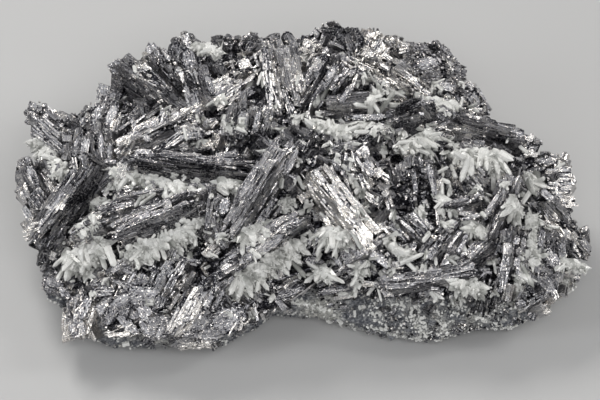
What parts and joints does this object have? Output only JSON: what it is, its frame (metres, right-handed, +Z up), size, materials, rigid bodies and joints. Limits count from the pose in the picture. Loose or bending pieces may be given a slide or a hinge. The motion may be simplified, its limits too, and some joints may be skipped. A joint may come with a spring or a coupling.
{
  "type": "galena twin crystal specimen",
  "caption": "Mineral specimen: interleaved flattened galena blades with combs of milky quartz points on a granular rock bed.",
  "frame": {"origin": "middle of the flat base that the specimen lies on", "axes": "+Z up, +X along the long side to the right, -Y towards the viewer of the show face"},
  "size_m": [0.2976, 0.1829, 0.0893],
  "materials": {
    "galena": "bright metallic cleavage faces, fine striations, dark tarnish in the hollows",
    "quartz": "milky, translucent, glossy faces",
    "rock": "dark sugary rock with pale grains"
  },
  "bodies": {
    "root": {"matrix_bed": "rock", "galena_twins": "galena", "quartz_band_left_edge": "quartz", "quartz_comb_upper_left": "quartz", "quartz_comb_left": "quartz", "quartz_spray_left": "quartz", "quartz_comb_lower_left": "quartz", "quartz_spray_centre": "quartz", "quartz_comb_lower_centre": "quartz", "quartz_star_upper_right": "quartz", "quartz_comb_upper_centre": "quartz", "quartz_comb_upper_right": "quartz", "quartz_comb_centre_right": "quartz", "quartz_comb_right": "quartz", "quartz_spike_right": "quartz", "quartz_spray_right": "quartz", "quartz_tuft_centre_right": "quartz", "quartz_tuft_middle_right": "quartz", "quartz_sheaf_right": "quartz", "quartz_comb_far_right": "quartz", "quartz_spray_lower_centre": "quartz", "quartz_cross_lower": "quartz", "quartz_crust_right_tip": "quartz", "quartz_tuft_front_right": "quartz", "quartz_comb_top_left": "quartz", "quartz_tuft_upper_right": "quartz", "quartz_points_centre": "quartz"}
  },
  "joints": []
}
